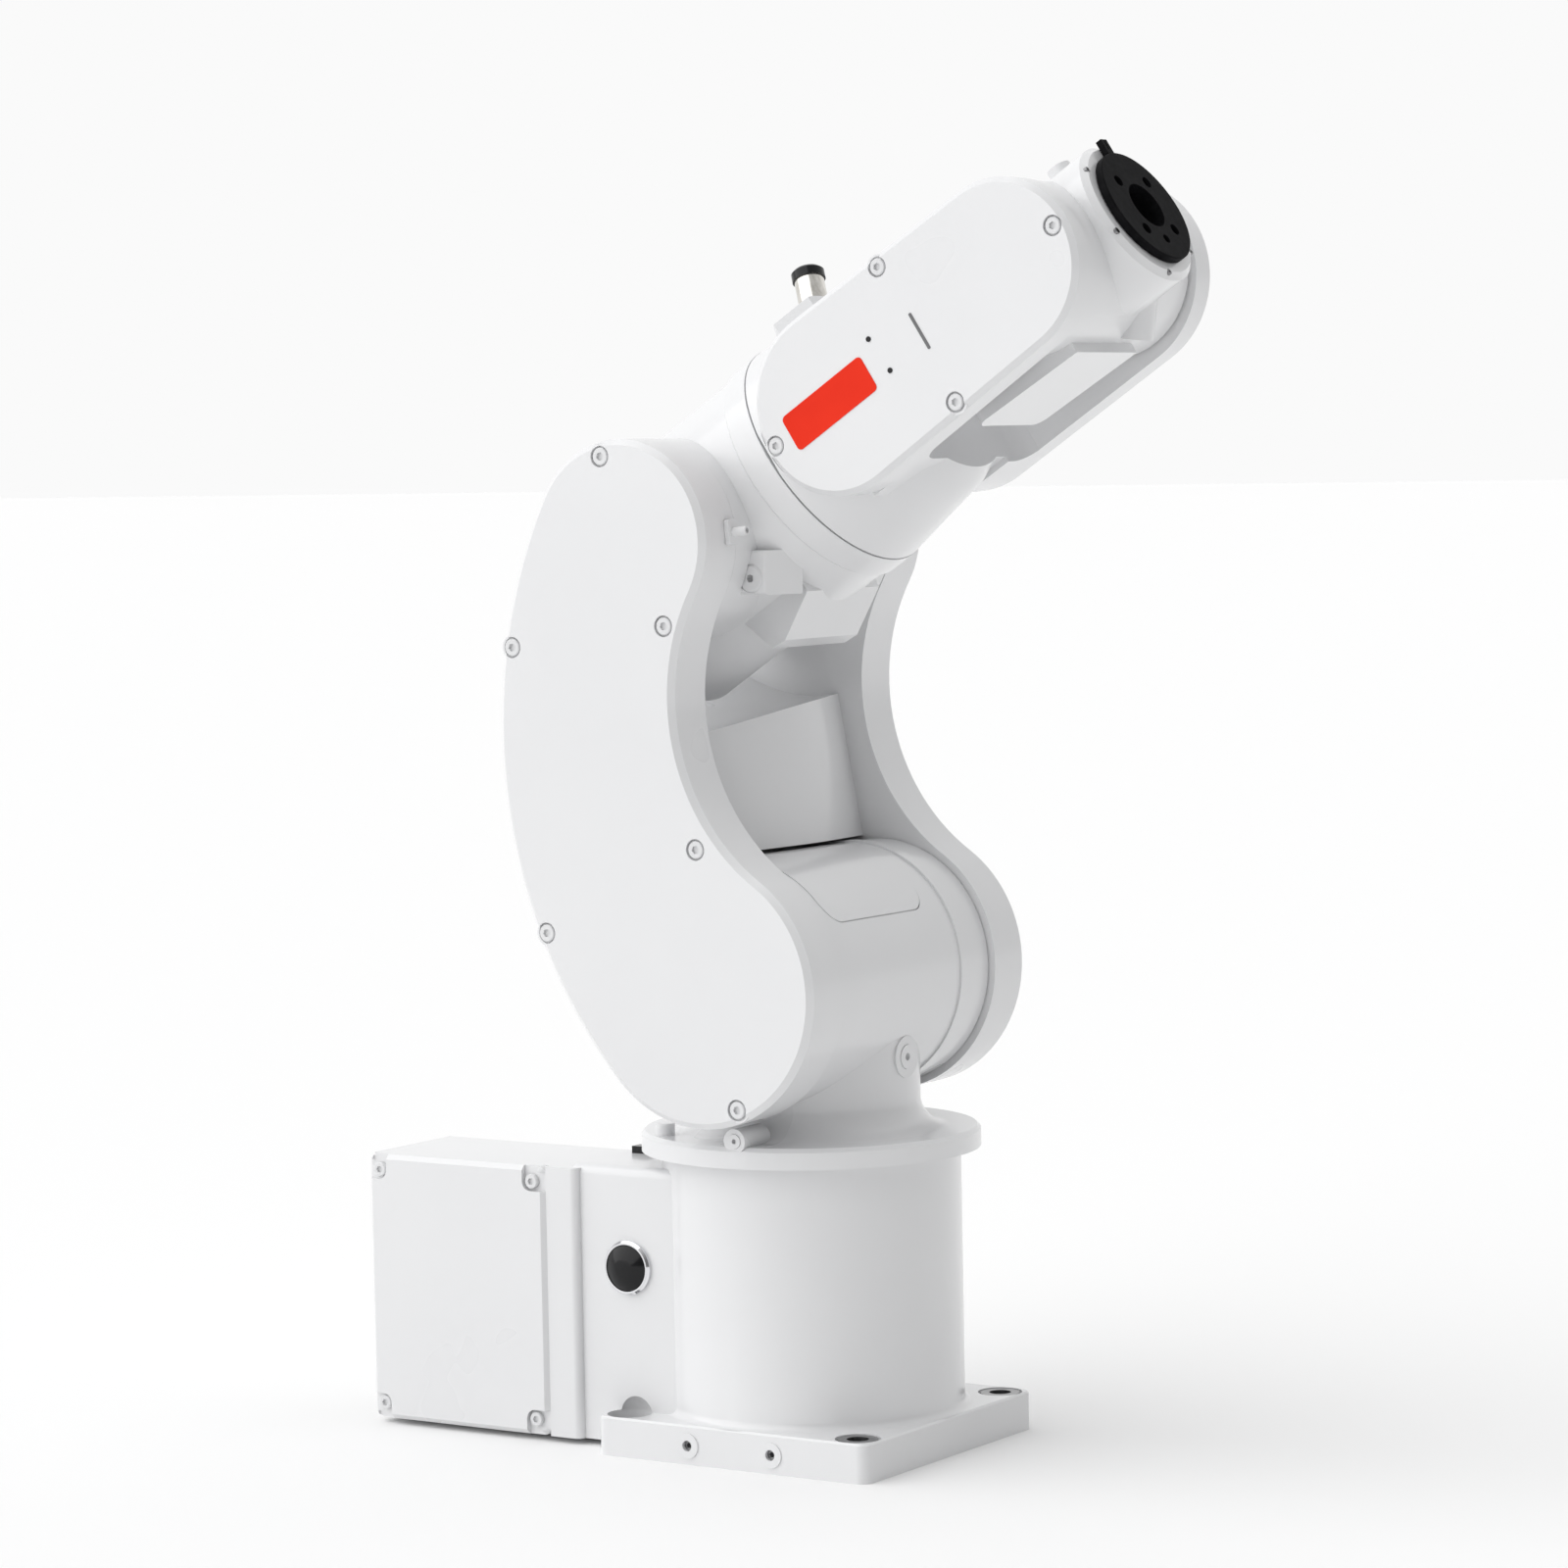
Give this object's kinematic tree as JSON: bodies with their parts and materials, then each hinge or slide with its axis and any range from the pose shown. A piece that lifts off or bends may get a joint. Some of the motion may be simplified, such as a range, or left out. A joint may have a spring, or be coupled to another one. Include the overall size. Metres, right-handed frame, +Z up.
{
  "type": "six-axis robot arm",
  "caption": "White desktop articulated robot arm with a box-backed base, curved twin-sided lower arm, forked forearm, pitching wrist and round black tool flange.",
  "frame": {"origin": "on axis 1, at the underside of the base plate, in the middle of its four mounting holes", "axes": "+Z up along axis 1, +X the way the arm reaches with axis 1 at zero, -Y the side with the long arm covers and the base's side cover"},
  "size_m": [0.3749, 0.1657, 0.5245],
  "materials": {
    "white_enamel": "gloss white baked enamel over cast aluminium",
    "white_screws": "white coated steel",
    "steel": "machined, satin",
    "nickel": "nickel plated brass",
    "chrome_trim": "polished",
    "black_oxide": "black oxide, satin",
    "black_plastic": "satin black",
    "connector_metal": "satin",
    "motor_black": "satin black",
    "pulley_aluminium": "machined",
    "belt_rubber": "matt"
  },
  "bodies": {
    "base": {"base_casting": "white_enamel", "base_bottom_cover": "white_enamel", "base_side_cover": "white_enamel", "base_cover_screws": "white_screws", "rear_panel": "connector_metal", "power_connector": "black_plastic", "signal_connector": "connector_metal", "air_inlets": "nickel", "mounting_bushes": "steel", "plate_side_screws": "steel", "brake_button_bezel": "chrome_trim", "a1_motor": "motor_black", "a1_reducer": "steel", "cable_clip": "black_plastic"},
    "brake_button": {"brake_button_cap": "black_plastic"},
    "turntable": {"turntable_casting": "white_enamel", "service_lid": "white_enamel", "calibration_plugs": "white_enamel", "a2_motor": "motor_black", "a2_reducer": "steel", "a2_support_bearing": "steel"},
    "lower_arm": {"lower_arm_belt_casting": "white_enamel", "lower_arm_web": "white_enamel", "lower_arm_bearing_casting": "white_enamel", "lower_arm_bearing_caps": "white_enamel", "lower_arm_cover": "white_enamel", "lower_arm_screws": "white_screws", "a3_motor": "motor_black", "a3_belt": "belt_rubber", "elbow_index_pin": "white_enamel"},
    "a3_motor_pulley": {"a3_motor_pulley": "pulley_aluminium"},
    "a3_input_pulley": {"a3_input_pulley": "pulley_aluminium"},
    "elbow": {"elbow_casting": "white_enamel", "elbow_rear_cap": "white_enamel", "elbow_rear_cap_screws": "white_screws", "elbow_plug": "white_enamel", "a3_reducer": "steel", "a3_support_bearing": "steel", "a4_motor": "motor_black", "a4_reducer": "steel"},
    "forearm": {"forearm_casting": "white_enamel", "forearm_left_fork": "white_enamel", "forearm_right_fork": "white_enamel", "a5_bearing_cap": "white_enamel", "a5_support_bearing": "steel", "forearm_cover": "white_enamel", "forearm_cover_screws": "white_screws", "air_fitting_body": "nickel", "air_fitting_collar": "black_plastic", "a5_motor": "motor_black", "a5_belt": "belt_rubber"},
    "a5_motor_pulley": {"a5_motor_pulley": "pulley_aluminium"},
    "a5_input_pulley": {"a5_input_pulley": "pulley_aluminium"},
    "wrist": {"wrist_casting": "white_enamel", "wrist_face": "white_enamel", "wrist_face_screws": "steel", "a5_reducer": "steel", "a6_drive": "motor_black"},
    "tool_flange": {"tool_flange": "black_oxide", "flange_pointer": "black_oxide"}
  },
  "joints": [
    {"name": "axis_1", "type": "hinge", "parent": "base", "child": "turntable", "pos_m": [0, 0, 0.1214], "axis": [0, 0, 1], "range_deg": [-170, 170]},
    {"name": "axis_2", "type": "hinge", "parent": "turntable", "child": "lower_arm", "pos_m": [0, 0, 0.193], "axis": [0, 1, 0], "range_deg": [-39, 85]},
    {"name": "axis_3", "type": "hinge", "parent": "lower_arm", "child": "elbow", "pos_m": [-0.03364, 0, 0.37105], "axis": [0, -1, 0], "range_deg": [-50, 120]},
    {"name": "axis_4", "type": "hinge", "parent": "elbow", "child": "forearm", "pos_m": [-0.03364, 0, 0.37105], "axis": [0.8387, 0, 0.5446], "range_deg": [-170, 170]},
    {"name": "axis_5", "type": "hinge", "parent": "forearm", "child": "wrist", "pos_m": [0.1257, 0, 0.47453], "axis": [0, -1, 0], "range_deg": [-120, 120]},
    {"name": "axis_6", "type": "hinge", "parent": "wrist", "child": "tool_flange", "pos_m": [0.15984, 0, 0.4967], "axis": [0.8387, 0, 0.5446], "range_deg": [-242, 242]},
    {"name": "axis_3_input", "type": "hinge", "parent": "lower_arm", "child": "a3_input_pulley", "pos_m": [-0.03364, 0, 0.37105], "axis": [0, -1, 0], "range_deg": [-6001, 2501]},
    {"name": "axis_3_motor", "type": "hinge", "parent": "lower_arm", "child": "a3_motor_pulley", "pos_m": [-0.05256, 0, 0.26652], "axis": [0, -1, 0], "range_deg": [-6001, 2501]},
    {"name": "axis_5_input", "type": "hinge", "parent": "forearm", "child": "a5_input_pulley", "pos_m": [0.1257, 0, 0.47453], "axis": [0, -1, 0], "range_deg": [-6001, 6001]},
    {"name": "axis_5_motor", "type": "hinge", "parent": "forearm", "child": "a5_motor_pulley", "pos_m": [0.04268, 0, 0.42061], "axis": [0, -1, 0], "range_deg": [-6001, 6001]},
    {"name": "brake_button_press", "type": "slide", "parent": "base", "child": "brake_button", "axis": [0, 1, 0], "range_m": [0, 0.002], "stiffness_N_per_m": 400}
  ],
  "couplings": [
    {"joint": "axis_3_input", "follows": "axis_3", "ratio": -50},
    {"joint": "axis_3_motor", "follows": "axis_3", "ratio": -50},
    {"joint": "axis_5_input", "follows": "axis_5", "ratio": -50},
    {"joint": "axis_5_motor", "follows": "axis_5", "ratio": -50}
  ]
}
